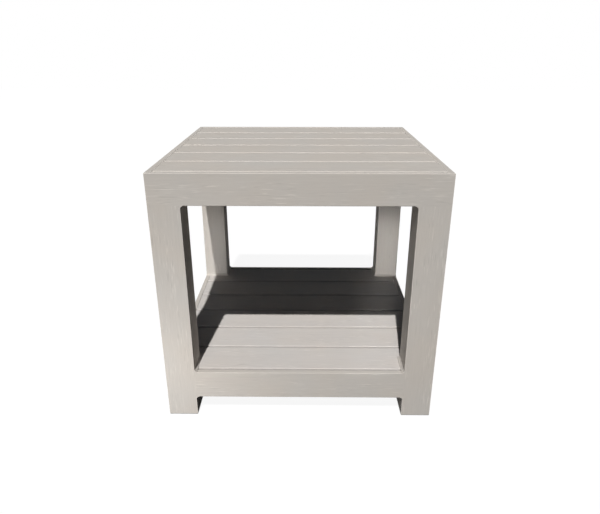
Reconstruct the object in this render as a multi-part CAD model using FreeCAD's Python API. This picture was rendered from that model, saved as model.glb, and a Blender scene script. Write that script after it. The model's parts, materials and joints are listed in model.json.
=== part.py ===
import FreeCAD
import Part
import math
import os

# Square side table: a welded frame of square tube that carries a slatted top and a slatted shelf.
# Millimetres. +Z is up, +X is right and the front faces -Y. The origin is on the floor, under the centre.

# Overall sizes
table_width = 550.0
table_depth = 550.0
table_height = 520.0
shelf_height = 105.0  # floor to the shelf's upper face

# Frame: square legs, and rails as wide as the legs with a lip beside the ledge that the slats lie on
leg_side = 60.0
tube_wall = 1.6
top_rail_height = 60.0
shelf_rail_height = 60.0
lip_width = 11.0
lip_inner_radius = 1.5  # the lip's edge beside the slats
edge_radius = 1.0  # outer edges of the legs and rails

# Slats: hollow planks with two ribs, laid left to right
slat_count = 6
slat_thickness = 16.0
slat_gap = 5.5  # between two slats, and between the lip and a slat beside it
slat_end_clearance = 0.4  # between a slat's end and the lip
slat_wall = 1.2
slat_rib_spacing = 28.0
slat_edge_radius = 2.0
slat_end_chamfer = 0.4

# Battens: channels, open below, that tie the slats of one deck together
batten_spacing = 220.0
batten_width = 30.0
batten_height = 15.0
batten_wall = 2.0

# Deck screws: pan heads with a cross recess, driven up through a batten into a slat
screw_diameter = 4.2
screw_length = 12.0
screw_tip_length = 3.0
screw_head_diameter = 8.0
screw_head_height = 2.6
screw_head_radius = 1.2
screw_recess_length = 4.4
screw_recess_width = 1.0
screw_recess_depth = 1.3
screw_pilot_clearance = 0.1  # on the diameter, in the slat
screw_hole_clearance = 0.6  # on the diameter, in the batten

# Welds: slightly hollow fillets left in the inner corners
frame_weld_leg = 5.0
batten_weld_leg = 3.0
weld_hollow = 0.36  # the middle of a fillet's face lies this share of its leg from both plates

# Foot plugs: a flange under the tube's end, and a finned spigot inside the tube
foot_flange_height = 2.0
foot_flange_setback = 0.4  # behind the leg's outer faces
foot_flange_radius = 0.8
foot_spigot_height = 22.0
foot_spigot_wall = 2.5
foot_fin_count = 3
foot_fin_height = 2.0
foot_fin_depth = 2.0
foot_fin_clearance = 0.1  # to the tube's inner faces

# Places that follow from the sizes
top_rail_bottom = table_height - top_rail_height
shelf_rail_bottom = shelf_height - shelf_rail_height
clear_width = table_width - 2 * leg_side
clear_depth = table_depth - 2 * leg_side
slat_length = table_width - 2 * (lip_width + slat_end_clearance)
slat_field = table_depth - 2 * lip_width
slat_width = (slat_field - (slat_count + 1) * slat_gap) / slat_count
slat_pitch = slat_width + slat_gap
first_slat_edge = -table_depth / 2 + lip_width + slat_gap
slat_middles = [first_slat_edge + slat_width / 2 + i * slat_pitch for i in range(slat_count)]
batten_places = {"left": -batten_spacing / 2, "right": batten_spacing / 2}
# Two screw lines in each slat, in the middle of its outer cells, where the battens reach
outer_cell_middle = (slat_rib_spacing / 2 + slat_width / 2 - slat_wall / 2) / 2
screw_reach = (clear_depth - screw_head_diameter) / 2
screw_lines = []
for slat_middle in slat_middles:
    for line in (slat_middle - outer_cell_middle, slat_middle + outer_cell_middle):
        if abs(line) < screw_reach:
            screw_lines.append(line)

ORIGIN = FreeCAD.Vector(0, 0, 0)
RIGHT = FreeCAD.Vector(1, 0, 0)
BACK = FreeCAD.Vector(0, 1, 0)
UP = FreeCAD.Vector(0, 0, 1)
FRONT = -BACK
FRONT_LEFT = -RIGHT - BACK

# Each side and each corner is a quarter turn about +Z after the one before it
SIDES = ["front", "right", "rear", "left"]
CORNERS = ["front_left", "front_right", "rear_right", "rear_left"]


def vector(x, y, z):
    return FreeCAD.Vector(x, y, z)


def corner_arc(before, corner, after, radius):
    """Where the arc that rounds a corner of an outline starts, passes and ends."""
    back = (before - corner).normalize()
    ahead = (after - corner).normalize()
    half_turn = back.getAngle(ahead) / 2
    reach = radius / math.tan(half_turn)
    depth = radius / math.sin(half_turn) - radius
    inward = (back + ahead).normalize()
    return corner + back * reach, corner + inward * depth, corner + ahead * reach


def outline(points, radii):
    """A closed wire through the points, rounded at each point whose radius isn't zero."""
    count = len(points)
    arcs = []
    for i in range(count):
        arcs.append(corner_arc(points[i - 1], points[i], points[(i + 1) % count], radii[i]))
    edges = []
    for i in range(count):
        start, middle, end = arcs[i]
        if radii[i] > 0:
            edges.append(Part.Arc(start, middle, end).toShape())
        edges.append(Part.LineSegment(end, arcs[(i + 1) % count][0]).toShape())
    return Part.Wire(edges)


def prism(points, radii, run):
    """The solid that a rounded outline sweeps along the vector run."""
    return Part.Face(outline(points, radii)).extrude(run)


def joined(solids):
    """Solids that share faces, as one solid with no seams between them."""
    return solids[0].fuse(solids[1:]).removeSplitter()


def placed(shape, way, quarter_turns, height):
    """A copy of a piece made for the side or corner that lies this way, carried round by quarter turns."""
    turn = 90 * quarter_turns
    outward = FreeCAD.Rotation(UP, turn).multVec(way)
    copy = shape.copy()
    copy.rotate(ORIGIN, UP, turn)
    copy.translate(vector(outward.x * table_width / 2, outward.y * table_depth / 2, height))
    return copy


def leg():
    """A leg at the front left corner: a square tube, closed above by the top rails.

    Its inner edges are left square beside the welds, which are ground flush with the rails.
    """
    levels = [
        foot_flange_height,
        shelf_rail_bottom - frame_weld_leg,
        shelf_height + frame_weld_leg,
        top_rail_bottom - frame_weld_leg,
        top_rail_bottom,
    ]
    inner_radii = [edge_radius, 0, edge_radius, 0]
    lengths = []
    for bottom, top, radius in zip(levels, levels[1:], inner_radii):
        square = [
            vector(0, 0, bottom),
            vector(leg_side, 0, bottom),
            vector(leg_side, leg_side, bottom),
            vector(0, leg_side, bottom),
        ]
        lengths.append(prism(square, [edge_radius, radius, radius, radius], UP * (top - bottom)))
    bore_side = leg_side - 2 * tube_wall
    bore_height = top_rail_bottom - foot_flange_height
    bore = Part.makeBox(bore_side, bore_side, bore_height, vector(tube_wall, tube_wall, foot_flange_height))
    return joined(lengths).cut(bore)


def rail_section(start, height, wall):
    """The corners of a rail at X = start, drawn in by the wall: an outer lip, and a ledge behind it."""
    ledge = height - slat_thickness
    return [
        vector(start, wall, wall),
        vector(start, leg_side - wall, wall),
        vector(start, leg_side - wall, ledge - wall),
        vector(start, lip_width - wall, ledge - wall),
        vector(start, lip_width - wall, height - wall),
        vector(start, wall, height - wall),
    ]


def rail_bar(length, rounded_length, height, upper_radius):
    """A hollow rail along X with its outer face at Y = 0 and its underside at Z = 0.

    Its long edges are rounded over the rounded length, and square near its ends, where it is welded.
    """
    starts = [-length / 2, -rounded_length / 2, rounded_length / 2, length / 2]
    rounded_edges = [edge_radius, edge_radius, 0, 0, lip_inner_radius, upper_radius]
    square_edges = [0, 0, 0, 0, lip_inner_radius, 0]
    lengths = []
    for start, end, radii in zip(starts, starts[1:], [square_edges, rounded_edges, square_edges]):
        lengths.append(prism(rail_section(start, height, 0), radii, RIGHT * (end - start)))
    hollow = rail_section(-length / 2, height, tube_wall)
    return joined(lengths).cut(prism(hollow, [0] * len(hollow), RIGHT * length))


def rounded_block(length, depth, height):
    """A block with its front at Y = 0, whose upright front edges and upper edges are rounded."""
    block = Part.makeBox(length, depth, height, vector(-length / 2, 0, 0))
    edges = []
    for edge in block.Edges:
        middle = edge.CenterOfMass
        if middle.z > height / 4 and middle.y < depth * 3 / 4:
            edges.append(edge)
    return block.makeFillet(edge_radius, edges)


def top_rail(length):
    """A rail of the top frame, mitred at both ends, with the frame's outer corners rounded."""
    mitred = [
        vector(-length / 2, 0, 0),
        vector(length / 2, 0, 0),
        vector(length / 2 - leg_side, leg_side, 0),
        vector(leg_side - length / 2, leg_side, 0),
    ]
    rounded_length = length - 2 * (leg_side + frame_weld_leg)
    bar = rail_bar(length, rounded_length, top_rail_height, 0)
    bar = bar.common(prism(mitred, [0] * len(mitred), UP * top_rail_height))
    return bar.common(rounded_block(length, 2 * leg_side, top_rail_height))


def shelf_rail(length):
    """A rail of the shelf frame, cut square between two legs."""
    return rail_bar(length, length - 2 * frame_weld_leg, shelf_rail_height, edge_radius)


def slat(hole_lines):
    """A slat along X, centred on X = 0 and Y = 0, with its underside at Z = 0 and holes on these lines."""
    half = slat_width / 2
    end = slat_length / 2
    section = [
        vector(-end, -half, 0),
        vector(-end, half, 0),
        vector(-end, half, slat_thickness),
        vector(-end, -half, slat_thickness),
    ]
    plank = prism(section, [0, 0, slat_edge_radius, slat_edge_radius], RIGHT * slat_length)
    for way in (-1, 1):
        chamfer = [
            vector(way * (end - slat_end_chamfer), -half, slat_thickness),
            vector(way * (end + slat_end_chamfer), -half, slat_thickness),
            vector(way * (end + slat_end_chamfer), -half, slat_thickness - 2 * slat_end_chamfer),
        ]
        plank = plank.cut(prism(chamfer, [0] * len(chamfer), BACK * slat_width))
    cell_height = slat_thickness - 2 * slat_wall
    rib = slat_rib_spacing / 2
    wall_middles = [slat_wall / 2 - half, -rib, rib, half - slat_wall / 2]
    for near, far in zip(wall_middles, wall_middles[1:]):
        corner = vector(-end, near + slat_wall / 2, slat_wall)
        plank = plank.cut(Part.makeBox(slat_length, far - near - slat_wall, cell_height, corner))
    pilot_radius = (screw_diameter + screw_pilot_clearance) / 2
    for x in batten_places.values():
        for y in hole_lines:
            plank = plank.cut(Part.makeCylinder(pilot_radius, slat_wall, vector(x, y, 0)))
    return plank


def leg_space():
    """The four columns that the legs fill, which the shelf's slats are notched round."""
    column = Part.makeBox(leg_side, leg_side, table_height)
    return [placed(column, FRONT_LEFT, quarter, 0) for quarter in range(len(CORNERS))]


def deck_slats(height, notches):
    """The slats of one deck from front to rear, cut back round the notches."""
    slats = []
    for middle in slat_middles:
        plank = slat([line - middle for line in screw_lines if abs(line - middle) < slat_width / 2])
        plank.translate(vector(0, middle, height - slat_thickness))
        for notch in notches:
            plank = plank.cut(notch)
        slats.append(plank)
    return slats


def batten(height):
    """A channel under the slats, from the front rail to the rear rail, with a hole for each screw."""
    corner = vector(-batten_width / 2, -clear_depth / 2, height - batten_height)
    bar = Part.makeBox(batten_width, clear_depth, batten_height, corner)
    channel_corner = corner + RIGHT * batten_wall
    channel_width = batten_width - 2 * batten_wall
    bar = bar.cut(Part.makeBox(channel_width, clear_depth, batten_height - batten_wall, channel_corner))
    hole_radius = (screw_diameter + screw_hole_clearance) / 2
    for line in screw_lines:
        bar = bar.cut(Part.makeCylinder(hole_radius, batten_wall, vector(0, line, height - batten_wall)))
    return bar


def screw():
    """A pan head screw that points up, with the face under its head at Z = 0."""
    shank = screw_diameter / 2
    head = screw_head_diameter / 2
    section = [
        vector(0, 0, -screw_head_height),
        vector(head, 0, -screw_head_height),
        vector(head, 0, 0),
        vector(shank, 0, 0),
        vector(shank, 0, screw_length - screw_tip_length),
        vector(0, 0, screw_length),
    ]
    turned = Part.Face(outline(section, [0, screw_head_radius, 0, 0, 0, 0])).revolve(ORIGIN, UP, 360)
    slot_corner = vector(-screw_recess_length / 2, -screw_recess_width / 2, -screw_head_height)
    slot = Part.makeBox(screw_recess_length, screw_recess_width, screw_recess_depth, slot_corner)
    cross_slot = slot.copy()
    cross_slot.rotate(ORIGIN, UP, 90)
    return turned.cut(slot).cut(cross_slot)


def deck_screws(deck_underside):
    """The screws of one deck, on every screw line of each batten."""
    model = screw()
    screws = []
    for x in batten_places.values():
        for line in screw_lines:
            copy = model.copy()
            copy.translate(vector(x, line, deck_underside - batten_wall))
            screws.append(copy)
    return screws


def weld_section(corner, first, second, size):
    """The end of a fillet in the corner between two plates that lie along first and second."""
    near = corner + first * size
    far = corner + second * size
    middle = corner + (first + second) * (size * weld_hollow)
    edges = [
        Part.LineSegment(corner, near).toShape(),
        Part.Arc(near, middle, far).toShape(),
        Part.LineSegment(far, corner).toShape(),
    ]
    return Part.Face(Part.Wire(edges))


def leg_welds(height, rise):
    """One fillet round the two inner faces of each leg, above or below the plates at this height."""
    inner_edge = vector(leg_side, leg_side, 0)
    across = weld_section(vector(leg_side, 0, 0), RIGHT, rise, frame_weld_leg).extrude(BACK * leg_side)
    turn = weld_section(inner_edge, RIGHT, rise, frame_weld_leg).revolve(inner_edge, UP, 90)
    along = weld_section(vector(0, leg_side, 0), BACK, rise, frame_weld_leg).extrude(RIGHT * leg_side)
    bead = joined([across, turn, along])
    return [placed(bead, FRONT_LEFT, quarter, height) for quarter in range(len(CORNERS))]


def batten_welds(deck_underside):
    """The fillets that hold the sides of each batten to the front and rear rails."""
    welds = []
    for x in batten_places.values():
        for way in (-1, 1):
            for end in (-1, 1):
                foot = vector(
                    x + way * batten_width / 2,
                    end * clear_depth / 2,
                    deck_underside - batten_height,
                )
                section = weld_section(foot, RIGHT * way, BACK * -end, batten_weld_leg)
                welds.append(section.extrude(UP * batten_height))
    return welds


def foot_plug():
    """A plug in the foot of the leg at the front left corner."""
    low = foot_flange_setback
    high = leg_side - foot_flange_setback
    square = [vector(low, low, 0), vector(high, low, 0), vector(high, high, 0), vector(low, high, 0)]
    flange = prism(square, [edge_radius] * len(square), UP * foot_flange_height)
    sole_edges = [edge for edge in flange.Edges if edge.BoundBox.ZMax < foot_flange_radius]
    flange = flange.makeFillet(foot_flange_radius, sole_edges)
    fin_edge = tube_wall + foot_fin_clearance
    fin_side = leg_side - 2 * fin_edge
    spigot_edge = fin_edge + foot_fin_depth
    spigot_side = leg_side - 2 * spigot_edge
    parts = [
        flange,
        Part.makeBox(
            spigot_side,
            spigot_side,
            foot_spigot_height,
            vector(spigot_edge, spigot_edge, foot_flange_height),
        ),
    ]
    for i in range(foot_fin_count):
        fin_bottom = foot_flange_height + foot_spigot_height * (i + 1) / (foot_fin_count + 1)
        corner = vector(fin_edge, fin_edge, fin_bottom)
        parts.append(Part.makeBox(fin_side, fin_side, foot_fin_height, corner))
    hollow_edge = spigot_edge + foot_spigot_wall
    hollow_side = leg_side - 2 * hollow_edge
    hollow_corner = vector(hollow_edge, hollow_edge, foot_flange_height)
    return joined(parts).cut(Part.makeBox(hollow_side, hollow_side, foot_spigot_height, hollow_corner))


def frame_nodes():
    """Legs, foot plugs, rails and the welds between them."""
    nodes = {}
    leg_model = leg()
    plug_model = foot_plug()
    for quarter, corner in enumerate(CORNERS):
        nodes["leg_" + corner] = [placed(leg_model, FRONT_LEFT, quarter, 0)]
        nodes["foot_plug_" + corner] = [placed(plug_model, FRONT_LEFT, quarter, 0)]
    for quarter, side in enumerate(SIDES):
        across = side in ("front", "rear")
        top_length = table_width if across else table_depth
        shelf_length = clear_width if across else clear_depth
        nodes["top_rail_" + side] = [placed(top_rail(top_length), FRONT, quarter, top_rail_bottom)]
        nodes["shelf_rail_" + side] = [placed(shelf_rail(shelf_length), FRONT, quarter, shelf_rail_bottom)]
    nodes["welds_under_top_rails"] = leg_welds(top_rail_bottom, -UP)
    nodes["welds_on_shelf"] = leg_welds(shelf_height, UP)
    nodes["welds_under_shelf_rails"] = leg_welds(shelf_rail_bottom, -UP)
    return nodes


def deck_nodes(deck, height, notches):
    """The slats, battens, screws and batten welds of the top or the shelf."""
    nodes = {}
    underside = height - slat_thickness
    for number, plank in enumerate(deck_slats(height, notches), start=1):
        nodes[f"{deck}_slat_{number}"] = [plank]
    for side, x in batten_places.items():
        bar = batten(underside)
        bar.translate(RIGHT * x)
        nodes[f"{deck}_batten_{side}"] = [bar]
    nodes[f"{deck}_deck_screws"] = deck_screws(underside)
    nodes[f"{deck}_batten_welds"] = batten_welds(underside)
    return nodes


def main():
    nodes = frame_nodes()
    nodes.update(deck_nodes("top", table_height, []))
    nodes.update(deck_nodes("shelf", shelf_height, leg_space()))
    os.makedirs("parts", exist_ok=True)
    for name, solids in nodes.items():
        shape = solids[0] if len(solids) == 1 else Part.makeCompound(solids)
        shape.exportStep("parts/" + name + ".step")


main()
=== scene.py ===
import bisect
import json
import math
import random

import bmesh
import bpy
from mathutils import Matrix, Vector


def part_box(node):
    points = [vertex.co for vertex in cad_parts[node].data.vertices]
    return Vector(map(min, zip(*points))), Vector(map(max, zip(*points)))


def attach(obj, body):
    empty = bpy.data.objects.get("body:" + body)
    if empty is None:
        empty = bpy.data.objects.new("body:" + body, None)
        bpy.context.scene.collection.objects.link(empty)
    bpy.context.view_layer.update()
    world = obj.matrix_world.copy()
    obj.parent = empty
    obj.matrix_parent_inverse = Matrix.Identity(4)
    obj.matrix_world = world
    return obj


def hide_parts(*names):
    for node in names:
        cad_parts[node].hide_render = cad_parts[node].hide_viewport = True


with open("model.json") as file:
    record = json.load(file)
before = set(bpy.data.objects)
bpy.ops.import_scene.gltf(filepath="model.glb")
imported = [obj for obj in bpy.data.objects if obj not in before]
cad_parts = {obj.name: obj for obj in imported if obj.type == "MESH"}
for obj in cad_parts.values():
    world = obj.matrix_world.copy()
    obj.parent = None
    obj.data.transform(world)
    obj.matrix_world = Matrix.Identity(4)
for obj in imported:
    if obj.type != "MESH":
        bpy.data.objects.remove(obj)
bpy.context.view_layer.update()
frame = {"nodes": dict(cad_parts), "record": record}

bl_info = {
    "name": "Square Side Table",
    "version": (1, 0, 0),
    "blender": (4, 5, 0),
    "location": "View3D > Sidebar > Side Table",
    "description": "Finishes a slatted square side table and sets it on a plain stage",
    "category": "Object",
}

CORNERS = ("front_left", "front_right", "rear_left", "rear_right")
DECKS = ("top", "shelf")
BATTENS = ("left", "right")
SLAT_NUMBERS = range(1, 7)
COLOURS = {entry["slot"]: entry["base_color"] for entry in frame["record"]["materials"]}
# The grain runs along a member: left to right, front to rear, or upright.
ACROSS, DEEP, UPRIGHT = range(3)
GRAIN_NAMES = ("wood_grain_across", "wood_grain_deep", "wood_grain_upright")
RAIL_GRAIN = {"front": ACROSS, "rear": ACROSS, "left": DEEP, "right": DEEP}
# Most values of a noise lie in this range.
NOISE_RANGE = (0.3, 0.7)
NOISE_ROUGHNESS = 0.55
# The seeds of the uneven ripples on the weld beads.
LEG_WELD_SEED = 60
BATTEN_WELD_SEED = 30
# Points of a bead that lie closer than this, in metres, are one point.
SAME_POINT = 1e-7
# A far lamp shines from a direction, so its distance only sets where it hangs.
LAMP_DISTANCE = 4.0
# The camera's sensor in millimetres, and the picture's width in pixels.
SENSOR_WIDTH = 36.0
IMAGE_WIDTH = 600
UP = Vector((0.0, 0.0, 1.0))
WHITE = (1.0, 1.0, 1.0)


class SideTableCoat(bpy.types.PropertyGroup):
    """The wood grain coat on the frame and the slats."""

    colour: bpy.props.FloatVectorProperty(
        name="Coat colour",
        description="Main colour of the powder coat",
        subtype="COLOR",
        size=3,
        min=0.0,
        max=1.0,
        default=COLOURS["wood_grain_coat"],
    )
    # A lighter copy of the coat colour for the shelf's slats: painted light, which makes the lit shelf
    # brighter than the top.
    lit_shelf_colour: bpy.props.FloatVectorProperty(
        name="Lit shelf colour",
        description="Colour of the powder coat on the slats of the shelf",
        subtype="COLOR",
        size=3,
        min=0.0,
        max=1.0,
        default=(0.538, 0.503, 0.472),
    )
    tint: bpy.props.FloatProperty(
        name="Tint range",
        description="How far the coat drifts to a warmer and a cooler grey",
        subtype="FACTOR",
        min=0.0,
        max=0.2,
        default=0.012,
    )
    line_length: bpy.props.FloatProperty(
        name="Line length",
        description="Length of a fine line in the grain",
        unit="LENGTH",
        min=0.005,
        default=0.07,
    )
    line_width: bpy.props.FloatProperty(
        name="Line width",
        description="Distance from one fine line to the next",
        unit="LENGTH",
        min=0.0005,
        default=0.0026,
    )
    line_contrast: bpy.props.FloatProperty(
        name="Line contrast",
        description="Share by which the fine lines are lighter or darker than the coat",
        subtype="FACTOR",
        min=0.0,
        max=0.5,
        default=0.025,
    )
    dash_length: bpy.props.FloatProperty(
        name="Dash length",
        description="Length of the bolder marks in the grain",
        unit="LENGTH",
        min=0.005,
        default=0.03,
    )
    dash_width: bpy.props.FloatProperty(
        name="Dash width",
        description="Width of the bolder marks in the grain",
        unit="LENGTH",
        min=0.0005,
        default=0.0024,
    )
    dash_contrast: bpy.props.FloatProperty(
        name="Dash contrast",
        description="Share by which the bolder marks are lighter or darker than the coat",
        subtype="FACTOR",
        min=0.0,
        max=0.5,
        default=0.17,
    )
    relief: bpy.props.FloatProperty(
        name="Relief",
        description="Depth of the grain",
        unit="LENGTH",
        min=0.0,
        max=0.001,
        default=0.00008,
    )
    roughness: bpy.props.FloatProperty(
        name="Roughness",
        description="Mean roughness of the matt coat",
        subtype="FACTOR",
        min=0.0,
        max=1.0,
        default=0.78,
    )
    gloss: bpy.props.FloatProperty(
        name="Gloss",
        description="Strength of the coat's reflections",
        subtype="FACTOR",
        min=0.0,
        max=1.0,
        default=0.05,
    )
    # Lighter on the rounded edges: a painted highlight that stands in for the glint the edges catch in the
    # key light.
    edge_highlight: bpy.props.FloatProperty(
        name="Edge highlight",
        description="Share by which the coat is lighter on the rounded edges",
        subtype="FACTOR",
        min=0.0,
        max=0.5,
        default=0.16,
    )
    # The same painted highlight, fainter, on the edges of the shelf, its rails and the battens.
    shelf_edge_highlight: bpy.props.FloatProperty(
        name="Shelf edge highlight",
        description="Share by which the coat is lighter on the rounded edges of the shelf and the battens",
        subtype="FACTOR",
        min=0.0,
        max=0.5,
        default=0.03,
    )


class SideTableWelds(bpy.types.PropertyGroup):
    """The fillet welds round the legs and beside the battens."""

    hollow: bpy.props.FloatProperty(
        name="Hollow",
        description="Share of a fillet's leg at which the middle of its face lies from both plates",
        subtype="FACTOR",
        min=0.25,
        max=0.49,
        default=0.36,
    )
    step: bpy.props.FloatProperty(
        name="Step",
        description="Distance from one ring of points along a bead to the next",
        unit="LENGTH",
        min=0.0002,
        default=0.0005,
    )
    ripple_pitch: bpy.props.FloatProperty(
        name="Ripple pitch",
        description="Mean distance from one weld ripple to the next",
        unit="LENGTH",
        min=0.001,
        default=0.0028,
    )
    ripple_height: bpy.props.FloatProperty(
        name="Ripple height",
        description="How far a ripple stands out under the coat",
        unit="LENGTH",
        min=0.0,
        default=0.00018,
    )
    ripple_curve: bpy.props.FloatProperty(
        name="Ripple curve",
        description="How far the middle of a ripple trails behind its ends",
        unit="LENGTH",
        min=0.0,
        default=0.0009,
    )
    unevenness: bpy.props.FloatProperty(
        name="Unevenness",
        description="Share by which a ripple is longer or shorter than the mean",
        subtype="FACTOR",
        min=0.0,
        max=0.5,
        default=0.22,
    )
    fade: bpy.props.FloatProperty(
        name="Fade",
        description="Length over which the ripples die out at a bead's ground ends",
        unit="LENGTH",
        min=0.0001,
        default=0.003,
    )


class SideTableSmallParts(bpy.types.PropertyGroup):
    """The foot plugs and the deck screws."""

    foot_colour: bpy.props.FloatVectorProperty(
        name="Foot colour",
        description="Colour of the moulded foot plugs",
        subtype="COLOR",
        size=3,
        min=0.0,
        max=1.0,
        default=COLOURS["foot_plastic"],
    )
    screw_colour: bpy.props.FloatVectorProperty(
        name="Screw colour",
        description="Colour of the stainless deck screws",
        subtype="COLOR",
        size=3,
        min=0.0,
        max=1.0,
        default=COLOURS["screw_steel"],
    )


class SideTableStage(bpy.types.PropertyGroup):
    """The floor, the light and the camera."""

    floor_size: bpy.props.FloatProperty(
        name="Floor size",
        description="Side of the square floor",
        unit="LENGTH",
        min=1.0,
        default=16.0,
    )
    floor_shadow: bpy.props.FloatProperty(
        name="Floor shadow",
        description="How much darker than white the floor is in a full shadow",
        subtype="FACTOR",
        min=0.0,
        max=0.9,
        default=0.08,
    )
    floor_bounce: bpy.props.FloatProperty(
        name="Floor bounce",
        description="Share of the light that the floor throws back at the table",
        subtype="FACTOR",
        min=0.0,
        max=1.0,
        default=0.03,
    )
    key_strength: bpy.props.FloatProperty(
        name="Key strength",
        description="Strength of the main light",
        min=0.0,
        default=3.8,
    )
    key_height: bpy.props.FloatProperty(
        name="Key height",
        description="Angle of the main light above the floor",
        subtype="ANGLE",
        default=math.radians(54.7),
    )
    key_turn: bpy.props.FloatProperty(
        name="Key turn",
        description="Angle of the main light to the left of the front",
        subtype="ANGLE",
        default=math.radians(6.2),
    )
    key_spread: bpy.props.FloatProperty(
        name="Key spread",
        description="Angle that the main light fills, which softens its shadows",
        subtype="ANGLE",
        default=math.radians(0.9),
    )
    front_strength: bpy.props.FloatProperty(
        name="Front strength",
        description="Strength of the low light in front",
        min=0.0,
        default=0.57,
    )
    front_height: bpy.props.FloatProperty(
        name="Front height",
        description="Angle of the low light in front above the floor",
        subtype="ANGLE",
        default=math.radians(2.0),
    )
    front_turn: bpy.props.FloatProperty(
        name="Front turn",
        description="Angle of the low light in front to the left of the front",
        subtype="ANGLE",
        default=math.radians(9.0),
    )
    front_spread: bpy.props.FloatProperty(
        name="Front spread",
        description="Angle that the low light in front fills, which softens its shadows",
        subtype="ANGLE",
        default=math.radians(8.0),
    )
    side_strength: bpy.props.FloatProperty(
        name="Side strength",
        description="Strength of the level lights on the left, behind and on the right",
        min=0.0,
        default=2.0,
    )
    side_height: bpy.props.FloatProperty(
        name="Side height",
        description="Angle of the level lights above the floor",
        subtype="ANGLE",
        default=0.0,
    )
    side_spread: bpy.props.FloatProperty(
        name="Side spread",
        description="Angle that each of the level lights fills, which softens its shadows",
        subtype="ANGLE",
        default=math.radians(0.6),
    )
    near_power: bpy.props.FloatProperty(
        name="Near power",
        description="Power of the soft lamp near the left foot",
        subtype="POWER",
        min=0.0,
        default=0.25,
    )
    near_size: bpy.props.FloatVectorProperty(
        name="Near size",
        description="Width and height of the soft lamp near the left foot",
        subtype="XYZ",
        unit="LENGTH",
        size=2,
        default=(0.12, 0.07),
    )
    near_place: bpy.props.FloatVectorProperty(
        name="Near place",
        description="Middle of the soft lamp near the left foot",
        subtype="TRANSLATION",
        unit="LENGTH",
        size=3,
        default=(-0.37, -0.62, 0.05),
    )
    near_target: bpy.props.FloatVectorProperty(
        name="Near target",
        description="Point that the soft lamp near the left foot faces",
        subtype="TRANSLATION",
        unit="LENGTH",
        size=3,
        default=(-0.27, -0.275, 0.14),
    )
    near_spread: bpy.props.FloatProperty(
        name="Near spread",
        description="Angle that the beam of the soft lamp near the left foot fills",
        subtype="ANGLE",
        default=math.radians(110.0),
    )
    beam_power: bpy.props.FloatVectorProperty(
        name="Beam power",
        description="Power of the narrow lamps that light the left and the right rear leg",
        size=2,
        min=0.0,
        default=(0.015, 0.036),
    )
    beam_size: bpy.props.FloatVectorProperty(
        name="Beam size",
        description="Width and height of each narrow lamp",
        subtype="XYZ",
        unit="LENGTH",
        size=2,
        default=(0.08, 0.21),
    )
    beam_place: bpy.props.FloatVectorProperty(
        name="Beam place",
        description="Middle of the narrow lamp for the right rear leg; the other one mirrors it",
        subtype="TRANSLATION",
        unit="LENGTH",
        size=3,
        default=(0.059, -0.6, 0.248),
    )
    beam_target: bpy.props.FloatVectorProperty(
        name="Beam target",
        description="Point that the narrow lamp for the right rear leg faces",
        subtype="TRANSLATION",
        unit="LENGTH",
        size=3,
        default=(0.245, 0.215, 0.175),
    )
    beam_spread: bpy.props.FloatProperty(
        name="Beam spread",
        description="Angle that the beam of each narrow lamp fills",
        subtype="ANGLE",
        default=math.radians(9.0),
    )
    fill_strength: bpy.props.FloatProperty(
        name="Fill strength",
        description="Strength of the even light from all round",
        min=0.0,
        default=0.026,
    )
    fill_colour: bpy.props.FloatVectorProperty(
        name="Fill colour",
        description="Colour of the even light from all round, which cools the shadows",
        subtype="COLOR",
        size=3,
        min=0.0,
        max=1.0,
        default=(0.42, 0.65, 1.0),
    )
    camera_place: bpy.props.FloatVectorProperty(
        name="Camera place",
        description="Where the camera stands",
        subtype="TRANSLATION",
        unit="LENGTH",
        size=3,
        default=(0.01032, -1.18927, 0.73339),
    )
    camera_tilt: bpy.props.FloatProperty(
        name="Camera tilt",
        description="Angle that the camera looks down",
        subtype="ANGLE",
        default=0.3861,
    )
    camera_turn: bpy.props.FloatProperty(
        name="Camera turn",
        description="Angle that the camera looks to the left",
        subtype="ANGLE",
        default=0.0096,
    )
    focal_pixels: bpy.props.FloatProperty(
        name="Focal length in pixels",
        description="Focal length in pixels, for a picture 600 pixels wide",
        min=1.0,
        default=528.6,
    )


def feed(tree, socket, value):
    """Sets a socket to a value, or links it to the socket that feeds it."""
    if isinstance(value, bpy.types.NodeSocket):
        tree.links.new(value, socket)
    else:
        socket.default_value = value


def add_node(tree, kind, inputs=None, **settings):
    """Adds a shader node. Each input is a value, or the socket that feeds it."""
    made = tree.nodes.new("ShaderNode" + kind)
    for name, value in settings.items():
        setattr(made, name, value)
    for name, value in (inputs or {}).items():
        feed(tree, made.inputs[name], value)
    return made


def new_material(name):
    """An empty node material with its output."""
    material = bpy.data.materials.new(name)
    material.use_nodes = True
    tree = material.node_tree
    tree.nodes.clear()
    return material, tree, add_node(tree, "OutputMaterial")


def drawn_noise(tree, place, marks, shift, detail):
    """Noise whose marks have these sizes along X, Y and Z, in metres, shifted so that no two noises match."""
    scale = [1.0 / size for size in marks]
    spread = add_node(tree, "Mapping", {"Vector": place, "Location": shift, "Scale": scale})
    inputs = {
        "Vector": spread.outputs["Vector"],
        "Scale": 1.0,
        "Detail": detail,
        "Roughness": NOISE_ROUGHNESS,
    }
    return add_node(tree, "TexNoise", inputs).outputs["Fac"]


def map_range(tree, value, low, high, to_low, to_high):
    """The value carried from one range to another, and held at its ends."""
    inputs = {"Value": value, "From Min": low, "From Max": high, "To Min": to_low, "To Max": to_high}
    return add_node(tree, "MapRange", inputs).outputs["Result"]


def combine(tree, operation, first, second):
    """Two values through one sum."""
    made = add_node(tree, "Math", operation=operation)
    for socket, value in zip(made.inputs, (first, second)):
        feed(tree, socket, value)
    return made.outputs["Value"]


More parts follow.
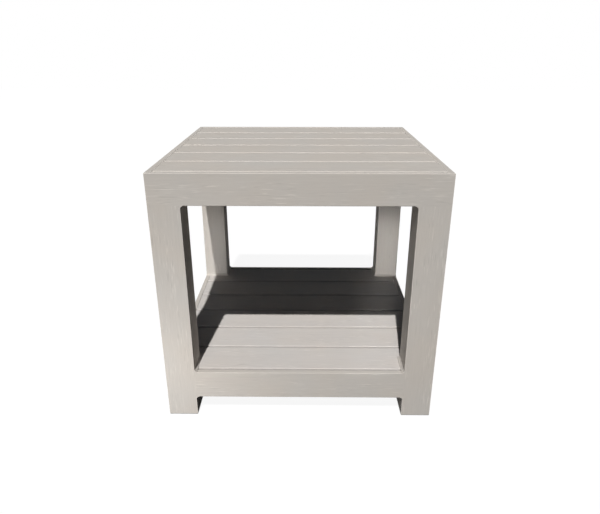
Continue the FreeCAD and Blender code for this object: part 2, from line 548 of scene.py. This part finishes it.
def two_tones(tree, value, low, high, dark, light):
    """A colour that goes from dark to light as the value goes from low to high."""
    ramp = add_node(tree, "ValToRGB", {"Fac": value})
    for element, position, colour in zip(ramp.color_ramp.elements, (low, high), (dark, light)):
        element.position = position
        element.color = (*colour, 1.0)
    return ramp.outputs["Color"]


def tinted(colour, tint):
    """The colour made warmer by this share, or cooler where it is negative."""
    red, green, blue = colour
    return (red * (1 + tint), green, blue * (1 - tint))


def toned(colour, tone):
    """The colour made lighter or darker by one factor."""
    return tuple(min(1.0, value * tone) for value in colour)


def bumped(tree, height, depth, strength=1.0):
    """The way that the surface faces, tilted by a relief of this depth in metres."""
    inputs = {"Height": height, "Strength": strength, "Distance": depth}
    return add_node(tree, "Bump", inputs).outputs["Normal"]


def show_surface(tree, output, inputs):
    """Makes the surface of a material from one shader with these inputs."""
    shader = add_node(tree, "BsdfPrincipled", inputs)
    tree.links.new(shader.outputs["BSDF"], output.inputs["Surface"])


def rounded_edges(tree):
    """One on the rounded edges of a tube or slat, and zero on its flat faces."""
    # The largest part of the surface's direction along one axis, on a flat face and well into an edge.
    on_face = 0.995
    on_edge = 0.93
    facing = add_node(tree, "SeparateXYZ", {"Vector": add_node(tree, "NewGeometry").outputs["Normal"]})
    squareness = 0.0
    for axis in ("X", "Y", "Z"):
        part = combine(tree, "ABSOLUTE", facing.outputs[axis], 0.0)
        squareness = combine(tree, "MAXIMUM", squareness, part)
    return map_range(tree, squareness, on_face, on_edge, 0.0, 1.0)


def grain_coat(along, finish):
    """The matt coat with its grain along X, Y or Z, made once for each way and finish."""
    name = f"{GRAIN_NAMES[along]}_{finish}"
    if name in bpy.data.materials:
        return bpy.data.materials[name]
    coat = bpy.context.scene.side_table_coat
    # The shelf's slats take the lighter copy of the coat colour, which is painted light.
    main_colour = coat.lit_shelf_colour if finish == "shelf" else coat.colour
    # The edges get a strong painted highlight on the open finish and a faint one on the others.
    edge_highlight_share = coat.edge_highlight if finish == "open" else coat.shelf_edge_highlight
    material, tree, output = new_material(name)
    place = add_node(tree, "TexCoord").outputs["Object"]

    def grain(length, width, shift, detail):
        marks = [length if axis == along else width for axis in range(3)]
        return drawn_noise(tree, place, marks, shift, detail)

    dark_length = 1.3 * coat.dash_length
    dark_width = 0.8 * coat.dash_width
    group_length = 0.12
    group_width = 0.03
    band_length = 0.45
    band_width = 0.05
    cloud_size = 0.11
    peel_size = 0.0016
    lines = grain(coat.line_length, coat.line_width, shift=(3.1, 7.7, 1.3), detail=3.0)
    bright = grain(coat.dash_length, coat.dash_width, shift=(11.9, 2.3, 5.1), detail=1.0)
    dark = grain(dark_length, dark_width, shift=(0.7, 23.3, 9.4), detail=1.0)
    groups = grain(group_length, group_width, shift=(4.6, 0.2, 17.3), detail=1.0)
    bands = grain(band_length, band_width, shift=(5.5, 1.9, 13.7), detail=2.0)
    clouds = grain(cloud_size, cloud_size, shift=(8.2, 3.6, 0.9), detail=2.0)
    peel = grain(peel_size, peel_size, shift=(2.8, 6.1, 4.4), detail=1.0)

    # The dashes are the peaks and the hollows of their noises, and few of them stand outside the groups.
    group_edge = (0.42, 0.6)
    bright_edge = (0.6, 0.72)
    dark_edge = (0.38, 0.27)
    outside_groups = 0.15
    grouped = map_range(tree, groups, *group_edge, outside_groups, 1.0)
    bright_dash = combine(tree, "MULTIPLY", map_range(tree, bright, *bright_edge, 0.0, 1.0), grouped)
    dark_dash = combine(tree, "MULTIPLY", map_range(tree, dark, *dark_edge, 0.0, 1.0), grouped)

    band_contrast = 0.012
    cloud_range = (0.32, 0.68)
    tone = map_range(tree, lines, *NOISE_RANGE, 1 - coat.line_contrast, 1 + coat.line_contrast)
    for change in (
        map_range(tree, bands, *NOISE_RANGE, 1 - band_contrast, 1 + band_contrast),
        map_range(tree, bright_dash, 0.0, 1.0, 1.0, 1 + coat.dash_contrast),
        map_range(tree, dark_dash, 0.0, 1.0, 1.0, 1 - coat.dash_contrast),
        # Lightens the rounded edges: a painted highlight.
        map_range(tree, rounded_edges(tree), 0.0, 1.0, 1.0, 1 + edge_highlight_share),
    ):
        tone = combine(tree, "MULTIPLY", tone, change)
    cool = tinted(main_colour, -coat.tint)
    warm = tinted(main_colour, coat.tint)
    ground = two_tones(tree, clouds, *cloud_range, cool, warm)
    colour = add_node(tree, "HueSaturation", {"Color": ground, "Value": tone})

    # How far the dashes and the orange peel of the coat count in the relief, beside the lines.
    bright_rise = 0.4
    dark_sink = 0.6
    peel_rise = 0.15
    raised = combine(tree, "ADD", lines, combine(tree, "MULTIPLY", bright_dash, bright_rise))
    raised = combine(tree, "SUBTRACT", raised, combine(tree, "MULTIPLY", dark_dash, dark_sink))
    raised = combine(tree, "ADD", raised, combine(tree, "MULTIPLY", peel, peel_rise))
    rougher = coat.roughness + 0.05
    smoother = coat.roughness - 0.05
    show_surface(tree, output, {
        "Base Color": colour.outputs["Color"],
        "Roughness": map_range(tree, lines, *NOISE_RANGE, rougher, smoother),
        "Normal": bumped(tree, raised, coat.relief),
        "Specular IOR Level": coat.gloss,
    })
    return material


def plain_coat():
    """The same coat where it lies thick over a weld, without the grain."""
    name = "coat_over_weld"
    if name in bpy.data.materials:
        return bpy.data.materials[name]
    coat = bpy.context.scene.side_table_coat
    material, tree, output = new_material(name)
    place = add_node(tree, "TexCoord").outputs["Object"]
    cloud_size = 0.012
    peel_size = 0.0014
    peel_depth = 0.00005
    clouds = drawn_noise(tree, place, [cloud_size] * 3, shift=(4.2, 0.6, 7.9), detail=2.0)
    peel = drawn_noise(tree, place, [peel_size] * 3, shift=(1.7, 5.3, 2.2), detail=2.0)
    cool = tinted(toned(coat.colour, 0.97), -coat.tint)
    warm = tinted(toned(coat.colour, 1.02), coat.tint)
    smoother = coat.roughness - 0.04
    rougher = coat.roughness + 0.04
    show_surface(tree, output, {
        "Base Color": two_tones(tree, clouds, *NOISE_RANGE, cool, warm),
        "Roughness": map_range(tree, peel, *NOISE_RANGE, smoother, rougher),
        "Normal": bumped(tree, peel, peel_depth),
        "Specular IOR Level": coat.gloss,
    })
    return material


def foot_nylon():
    """Moulded nylon with a fine spark texture and faint scuffs."""
    parts = bpy.context.scene.side_table_small_parts
    material, tree, output = new_material("foot_nylon")
    place = add_node(tree, "TexCoord").outputs["Object"]
    spark_size = 0.0008
    spark_depth = 0.00008
    scuff_size = (0.012, 0.012, 0.004)
    scuff_range = (0.3, 0.75)
    gloss = 0.45
    spark = drawn_noise(tree, place, [spark_size] * 3, shift=(0.0, 3.0, 6.0), detail=2.0)
    scuffs = drawn_noise(tree, place, scuff_size, shift=(9.0, 1.0, 4.0), detail=3.0)
    dark = toned(parts.foot_colour, 0.86)
    light = toned(parts.foot_colour, 1.14)
    smoother = 0.5
    rougher = 0.66
    show_surface(tree, output, {
        "Base Color": two_tones(tree, scuffs, *scuff_range, dark, light),
        "Roughness": map_range(tree, scuffs, *NOISE_RANGE, smoother, rougher),
        "Normal": bumped(tree, spark, spark_depth),
        "Specular IOR Level": gloss,
    })
    return material


def screw_steel():
    """Stainless steel with faint turning marks and stains."""
    parts = bpy.context.scene.side_table_small_parts
    material, tree, output = new_material("screw_stainless")
    place = add_node(tree, "TexCoord").outputs["Object"]
    mark_size = (0.003, 0.003, 0.0003)
    mark_depth = 0.00002
    mark_strength = 0.6
    stain_size = 0.004
    stain_range = (0.25, 0.75)
    marks = drawn_noise(tree, place, mark_size, shift=(6.0, 2.0, 8.0), detail=2.0)
    stains = drawn_noise(tree, place, [stain_size] * 3, shift=(1.0, 7.0, 3.0), detail=2.0)
    dark = toned(parts.screw_colour, 0.88)
    light = toned(parts.screw_colour, 1.08)
    smoother = 0.26
    rougher = 0.4
    show_surface(tree, output, {
        "Base Color": two_tones(tree, stains, *stain_range, dark, light),
        "Metallic": 1.0,
        "Roughness": map_range(tree, marks, *NOISE_RANGE, smoother, rougher),
        "Normal": bumped(tree, marks, mark_depth, mark_strength),
    })
    return material


def dress(name, material):
    """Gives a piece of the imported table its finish."""
    piece = frame["nodes"].get(name)
    if piece is None:
        raise RuntimeError(f"the table has no piece named {name}")
    for slot in piece.material_slots:
        slot.material = material


class CoatedGroup:
    """A group of like pieces that get the wood grain coat.

    The finish is open, with a strong painted highlight on the rounded edges, sheltered, with a faint
    painted highlight on them, or shelf, which has the faint painted highlight and a lighter colour that
    paints the brighter light on the shelf.
    """

    grain = {}
    finish = "open"

    def execute(self, context):
        for name, along in self.grain.items():
            dress(name, grain_coat(along, self.finish))
        return {"FINISHED"}


class SIDE_TABLE_OT_legs(CoatedGroup, bpy.types.Operator):
    """Coats the four legs, with the grain upright"""

    bl_idname = "side_table.legs"
    bl_label = "Coat the Legs"
    grain = {f"leg_{corner}": UPRIGHT for corner in CORNERS}


class SIDE_TABLE_OT_top_rails(CoatedGroup, bpy.types.Operator):
    """Coats the mitred rails round the top, with the grain along each rail"""

    bl_idname = "side_table.top_rails"
    bl_label = "Coat the Top Rails"
    grain = {f"top_rail_{side}": along for side, along in RAIL_GRAIN.items()}


class SIDE_TABLE_OT_shelf_rails(CoatedGroup, bpy.types.Operator):
    """Coats the rails between the legs, with the grain along each rail"""

    bl_idname = "side_table.shelf_rails"
    bl_label = "Coat the Shelf Rails"
    grain = {f"shelf_rail_{side}": along for side, along in RAIL_GRAIN.items()}
    # The sheltered finish: a faint painted highlight on the rounded edges.
    finish = "sheltered"


class SIDE_TABLE_OT_top_slats(CoatedGroup, bpy.types.Operator):
    """Coats the six slats of the top, with the grain along the slats"""

    bl_idname = "side_table.top_slats"
    bl_label = "Coat the Top Slats"
    grain = {f"top_slat_{number}": ACROSS for number in SLAT_NUMBERS}


class SIDE_TABLE_OT_shelf_slats(CoatedGroup, bpy.types.Operator):
    """Coats the six slats of the shelf, with the grain along the slats"""

    bl_idname = "side_table.shelf_slats"
    bl_label = "Coat the Shelf Slats"
    grain = {f"shelf_slat_{number}": ACROSS for number in SLAT_NUMBERS}
    # The shelf finish: the lighter coat colour, which is painted light, and a faint painted highlight on the
    # edges.
    finish = "shelf"


class SIDE_TABLE_OT_battens(CoatedGroup, bpy.types.Operator):
    """Coats the channel battens under both decks, with the grain along each batten"""

    bl_idname = "side_table.battens"
    bl_label = "Coat the Battens"
    grain = {f"{deck}_batten_{side}": DEEP for deck in DECKS for side in BATTENS}
    # The sheltered finish: a faint painted highlight on the rounded edges.
    finish = "sheltered"


class SIDE_TABLE_OT_screws(bpy.types.Operator):
    """Finishes the deck screws in stainless steel"""

    bl_idname = "side_table.screws"
    bl_label = "Finish the Screws"

    def execute(self, context):
        steel = screw_steel()
        for deck in DECKS:
            dress(f"{deck}_deck_screws", steel)
        return {"FINISHED"}


class SIDE_TABLE_OT_feet(bpy.types.Operator):
    """Finishes the four foot plugs in moulded nylon"""

    bl_idname = "side_table.feet"
    bl_label = "Finish the Feet"

    def execute(self, context):
        nylon = foot_nylon()
        for corner in CORNERS:
            dress(f"foot_plug_{corner}", nylon)
        return {"FINISHED"}


def fillet_face(leg, hollow, count):
    """Points across a fillet's hollow face, from one plate to the other, with the way out of the metal."""
    # An arc through the ends of both legs and the hollow's middle, in shares of the leg.
    centre = (1 - 2 * hollow * hollow) / (2 - 4 * hollow)
    radius = math.sqrt(2) * (centre - hollow)
    first = math.atan2(centre, centre - 1)
    last = math.atan2(centre - 1, centre)
    points = []
    for i in range(count):
        angle = first + (last - first) * i / (count - 1)
        outward = Vector((math.cos(angle), math.sin(angle)))
        points.append((leg * (Vector((centre, centre)) - radius * outward), outward))
    return points


class Bead:
    """One weld bead: rings of points from end to end, with a ripple for each drop of weld metal."""

    points_across = 9

    def __init__(self, build, welds, leg, draw):
        self.build = build
        self.welds = welds
        self.face = fillet_face(leg, welds.hollow, self.points_across)
        self.draw = draw
        self.stations = []

    def add_station(self, place, corner, first, second):
        """Adds a ring at a place along the bead, in the corner between plates that lie along two ways."""
        self.stations.append((place, corner, first, second))

    def ripple_ends(self, length):
        """Where each ripple ends, in uneven steps."""
        pitch = self.welds.ripple_pitch
        spread = self.welds.unevenness
        ends = [-pitch]
        while ends[-1] < length + 2 * pitch:
            ends.append(ends[-1] + pitch * self.draw.uniform(1 - spread, 1 + spread))
        return ends

    def make(self):
        """Adds the bead's mesh: its hollow face is smooth, and the hidden faces and the ends are flat."""
        length = self.stations[-1][0]
        ends = self.ripple_ends(length)
        rings = []
        for place, corner, first, second in self.stations:
            fade = min(1.0, place / self.welds.fade, (length - place) / self.welds.fade)
            ring = [self.build.verts.new(corner)]
            for i, (point, outward) in enumerate(self.face):
                swell = math.sin(math.pi * i / (self.points_across - 1))
                height = self.welds.ripple_height * fade * swell
                spot = point + outward * height * ripple(ends, place + self.welds.ripple_curve * swell)
                ring.append(self.build.verts.new(corner + first * spot.x + second * spot.y))
            rings.append(ring)
        for ring, after in zip(rings, rings[1:]):
            for i in range(len(ring)):
                beside = (i + 1) % len(ring)
                face = self.build.faces.new((ring[i], ring[beside], after[beside], after[i]))
                face.smooth = 0 < i < len(ring) - 1
        self.build.faces.new(rings[0])
        self.build.faces.new(rings[-1])


def ripple(ends, place):
    """Height at a place along a bead, as a share of a ripple's: each rises slowly and drops at its end."""
    after = bisect.bisect_right(ends, place)
    share = (place - ends[after - 1]) / (ends[after] - ends[after - 1])
    lean = 1.4
    return math.sin(math.pi * share ** lean)


def run_of(start, end, step):
    """Points from start to end, about a step apart, with how far along each one lies."""
    count = max(2, round((end - start).length / step))
    return [(i / count, start.lerp(end, i / count)) for i in range(count + 1)]


def bead_round_leg(bead, corner_name, height, rise, step):
    """A bead along the leg's inner faces, from one outer face round the inner edge to the other."""
    low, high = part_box(f"leg_{corner_name}")
    inner = Vector((min(low[0], high[0], key=abs), min(low[1], high[1], key=abs), height))
    outer = Vector((max(low[0], high[0], key=abs), max(low[1], high[1], key=abs), height))
    across = Vector((-math.copysign(1, inner.x), 0, 0))
    deep = Vector((0, -math.copysign(1, inner.y), 0))
    side = abs(outer.x - inner.x)
    size = bead.face[0][0].length
    # The length of the turn round the leg's edge, half way out on the bead.
    bend = size * math.pi / 4
    for share, corner in run_of(Vector((inner.x, outer.y, height)), inner, step):
        bead.add_station(share * side, corner, across, UP * rise)
    turn_count = round(2 * bend / step)
    for i in range(1, turn_count):
        angle = math.pi / 2 * i / turn_count
        way = across * math.cos(angle) + deep * math.sin(angle)
        bead.add_station(side + bend * i / turn_count, inner, way, UP * rise)
    for share, corner in run_of(inner, Vector((outer.x, inner.y, height)), step):
        bead.add_station(side + bend + share * side, corner, deep, UP * rise)
    bead.make()


def bead_beside_batten(bead, low, high, x, y, step):
    """An upright bead in the corner between a batten's side and a rail."""
    across = Vector((1 if x == high[0] else -1, 0, 0))
    deep = Vector((0, -1 if y == high[1] else 1, 0))
    for share, corner in run_of(Vector((x, y, low[2])), Vector((x, y, high[2])), step):
        bead.add_station(share * (high[2] - low[2]), corner, across, deep)
    bead.make()


def add_beads(name, node, build):
    """Makes a piece of the beads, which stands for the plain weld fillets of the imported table."""
    bmesh.ops.remove_doubles(build, verts=build.verts, dist=SAME_POINT)
    bmesh.ops.recalc_face_normals(build, faces=build.faces)
    mesh = bpy.data.meshes.new(name)
    build.to_mesh(mesh)
    build.free()
    mesh.materials.append(plain_coat())
    piece = bpy.data.objects.new(name, mesh)
    bpy.context.scene.collection.objects.link(piece)
    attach(piece, "root")
    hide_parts(node)


class SIDE_TABLE_OT_leg_welds(bpy.types.Operator):
    """Lays the rippled weld beads round the inner faces of the legs"""

    bl_idname = "side_table.leg_welds"
    bl_label = "Weld the Legs"

    def execute(self, context):
        welds = context.scene.side_table_welds
        draw = random.Random(LEG_WELD_SEED)
        under_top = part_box("top_rail_front")[0][2]
        under_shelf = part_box("shelf_rail_front")[0][2]
        on_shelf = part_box("shelf_rail_front")[1][2]
        for place, height, rise in (
            ("under_top_rails", under_top, -1),
            ("on_shelf", on_shelf, 1),
            ("under_shelf_rails", under_shelf, -1),
        ):
            node = f"welds_{place}"
            low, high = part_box(node)
            build = bmesh.new()
            for corner in CORNERS:
                bead = Bead(build, welds, high[2] - low[2], draw)
                bead_round_leg(bead, corner, height, rise, welds.step)
            add_beads(f"weld_beads_{place}", node, build)
        return {"FINISHED"}


class SIDE_TABLE_OT_batten_welds(bpy.types.Operator):
    """Lays the short weld beads between the battens and the front and rear rails"""

    bl_idname = "side_table.batten_welds"
    bl_label = "Weld the Battens"

    def execute(self, context):
        welds = context.scene.side_table_welds
        draw = random.Random(BATTEN_WELD_SEED)
        for deck in DECKS:
            node = f"{deck}_batten_welds"
            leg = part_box(node)[1][0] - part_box(f"{deck}_batten_right")[1][0]
            build = bmesh.new()
            for side in BATTENS:
                low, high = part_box(f"{deck}_batten_{side}")
                for x in (low[0], high[0]):
                    for y in (low[1], high[1]):
                        bead_beside_batten(Bead(build, welds, leg, draw), low, high, x, y, welds.step)
            add_beads(f"{deck}_batten_weld_beads", node, build)
        return {"FINISHED"}


def white_where_seen(tree):
    """One where a ray comes straight from the camera, off a gloss or through glass, and zero elsewhere."""
    path = add_node(tree, "LightPath")
    seen = combine(tree, "MAXIMUM", path.outputs["Is Camera Ray"], path.outputs["Is Glossy Ray"])
    return combine(tree, "MAXIMUM", seen, path.outputs["Is Transmission Ray"])


def floor_finish(stage):
    """A pale matt floor that shows soft shadows, and throws back less light than it shows."""
    material, tree, output = new_material("pale_floor")
    # A little over one, so that the floor is fully white in the main light.
    gain = 1.1
    lit = add_node(tree, "BsdfDiffuse", {"Color": (*[gain * stage.floor_shadow] * 3, 1.0)})
    white = add_node(tree, "Emission", {"Color": (*WHITE, 1.0), "Strength": 1 - stage.floor_shadow})
    thrown = add_node(tree, "BsdfDiffuse", {"Color": (*[stage.floor_bounce] * 3, 1.0)})
    shown = add_node(tree, "AddShader")
    tree.links.new(white.outputs["Emission"], shown.inputs[0])
    tree.links.new(lit.outputs["BSDF"], shown.inputs[1])
    mix = add_node(tree, "MixShader", {"Fac": white_where_seen(tree)})
    tree.links.new(thrown.outputs["BSDF"], mix.inputs[1])
    tree.links.new(shown.outputs["Shader"], mix.inputs[2])
    tree.links.new(mix.outputs["Shader"], output.inputs["Surface"])
    return material


class SIDE_TABLE_OT_stage(bpy.types.Operator):
    """Sets up the pale floor, the soft light and the camera"""

    bl_idname = "side_table.stage"
    bl_label = "Set the Stage"

    def execute(self, context):
        stage = context.scene.side_table_stage
        self.lay_floor(context, stage)
        self.light(context, stage)
        self.fill(context, stage)
        self.set_camera(context, stage)
        context.scene.view_settings.view_transform = "Standard"
        return {"FINISHED"}

    def lay_floor(self, context, stage):
        half = stage.floor_size / 2
        mesh = bpy.data.meshes.new("floor")
        build = bmesh.new()
        corners = ((-half, -half), (half, -half), (half, half), (-half, half))
        build.faces.new([build.verts.new((x, y, 0.0)) for x, y in corners])
        build.to_mesh(mesh)
        build.free()
        mesh.materials.append(floor_finish(stage))
        floor = bpy.data.objects.new("floor", mesh)
        context.scene.collection.objects.link(floor)

    def hang(self, context, lamp, place, shine):
        """Puts a lamp at a place so that it shines the given way, out of the camera's sight."""
        made = bpy.data.objects.new(lamp.name, lamp)
        made.location = place
        made.rotation_euler = shine.to_track_quat("-Z", "Y").to_euler()
        made.visible_camera = False
        context.scene.collection.objects.link(made)
        return made

    def add_far_lamp(self, context, name, strength, height, turn, spread):
        """Hangs a far lamp at an angle above the floor, turned to the left of the front."""
        lamp = bpy.data.lights.new(f"{name}_light", "SUN")
        lamp.energy = strength
        lamp.angle = spread
        shine = Vector((
            math.sin(turn) * math.cos(height),
            math.cos(turn) * math.cos(height),
            -math.sin(height),
        ))
        return self.hang(context, lamp, -shine * LAMP_DISTANCE, shine)

    def add_soft_lamp(self, context, name, power, size, spread, place, target):
        """Hangs a soft lamp at a place so that it faces the target."""
        lamp = bpy.data.lights.new(f"{name}_light", "AREA")
        lamp.energy = power
        lamp.shape = "RECTANGLE"
        lamp.size, lamp.size_y = size
        lamp.spread = spread
        self.hang(context, lamp, place, target - place)

    def light(self, context, stage):
        self.add_far_lamp(
            context, "key", stage.key_strength, stage.key_height, stage.key_turn, stage.key_spread
        )
        self.add_far_lamp(
            context, "front", stage.front_strength, stage.front_height, stage.front_turn, stage.front_spread
        )
        for name, turn in (("left", math.pi / 2), ("rear", math.pi), ("right", -math.pi / 2)):
            side = self.add_far_lamp(
                context, name, stage.side_strength, stage.side_height, turn, stage.side_spread
            )
            # Without its glint, which would veil the top from the other side.
            side.visible_glossy = False
        self.add_soft_lamp(
            context, "near", stage.near_power, stage.near_size, stage.near_spread,
            Vector(stage.near_place), Vector(stage.near_target),
        )
        for name, mirror, power in zip(("left_beam", "right_beam"), (-1, 1), stage.beam_power):
            sides = Vector((mirror, 1, 1))
            self.add_soft_lamp(
                context, name, power, stage.beam_size, stage.beam_spread,
                sides * Vector(stage.beam_place), sides * Vector(stage.beam_target),
            )

    def fill(self, context, stage):
        """Sets the faint light from all round, which is seen as white."""
        world = bpy.data.worlds.new("studio")
        world.use_nodes = True
        tree = world.node_tree
        tree.nodes.clear()
        seen = white_where_seen(tree)
        colour = two_tones(tree, seen, 0.0, 1.0, stage.fill_colour, WHITE)
        strength = map_range(tree, seen, 0.0, 1.0, stage.fill_strength, 1.0)
        light = add_node(tree, "Background", {"Color": colour, "Strength": strength})
        output = add_node(tree, "OutputWorld")
        tree.links.new(light.outputs["Background"], output.inputs["Surface"])
        context.scene.world = world

    def set_camera(self, context, stage):
        data = bpy.data.cameras.new("camera")
        data.sensor_width = SENSOR_WIDTH
        data.lens = SENSOR_WIDTH * stage.focal_pixels / IMAGE_WIDTH
        camera = bpy.data.objects.new("camera", data)
        camera.location = stage.camera_place
        camera.rotation_euler = (math.pi / 2 - stage.camera_tilt, 0.0, stage.camera_turn)
        context.scene.collection.objects.link(camera)
        context.scene.camera = camera


STEPS = (
    SIDE_TABLE_OT_legs,
    SIDE_TABLE_OT_top_rails,
    SIDE_TABLE_OT_shelf_rails,
    SIDE_TABLE_OT_top_slats,
    SIDE_TABLE_OT_shelf_slats,
    SIDE_TABLE_OT_battens,
    SIDE_TABLE_OT_screws,
    SIDE_TABLE_OT_feet,
    SIDE_TABLE_OT_leg_welds,
    SIDE_TABLE_OT_batten_welds,
    SIDE_TABLE_OT_stage,
)
SETTINGS = {
    "side_table_coat": SideTableCoat,
    "side_table_welds": SideTableWelds,
    "side_table_small_parts": SideTableSmallParts,
    "side_table_stage": SideTableStage,
}


class SIDE_TABLE_PT_panel(bpy.types.Panel):
    """Lists the settings and the steps that finish the side table"""

    bl_idname = "SIDE_TABLE_PT_panel"
    bl_label = "Side Table"
    bl_space_type = "VIEW_3D"
    bl_region_type = "UI"
    bl_category = "Side Table"

    def draw(self, context):
        for name in SETTINGS:
            box = self.layout.box()
            group = getattr(context.scene, name)
            for setting in group.bl_rna.properties:
                if setting.identifier not in ("rna_type", "name"):
                    box.prop(group, setting.identifier)
        for step in STEPS:
            self.layout.operator(step.bl_idname)


CLASSES = (*SETTINGS.values(), *STEPS, SIDE_TABLE_PT_panel)


def register():
    for made in CLASSES:
        bpy.utils.register_class(made)
    for name, group in SETTINGS.items():
        setattr(bpy.types.Scene, name, bpy.props.PointerProperty(type=group))


def unregister():
    for name in SETTINGS:
        delattr(bpy.types.Scene, name)
    for made in reversed(CLASSES):
        bpy.utils.unregister_class(made)


def main():
    register()
    bpy.ops.side_table.legs()
    bpy.ops.side_table.top_rails()
    bpy.ops.side_table.shelf_rails()
    bpy.ops.side_table.top_slats()
    bpy.ops.side_table.shelf_slats()
    bpy.ops.side_table.battens()
    bpy.ops.side_table.screws()
    bpy.ops.side_table.feet()
    bpy.ops.side_table.leg_welds()
    bpy.ops.side_table.batten_welds()
    bpy.ops.side_table.stage()


if __name__ == "__main__":
    main()
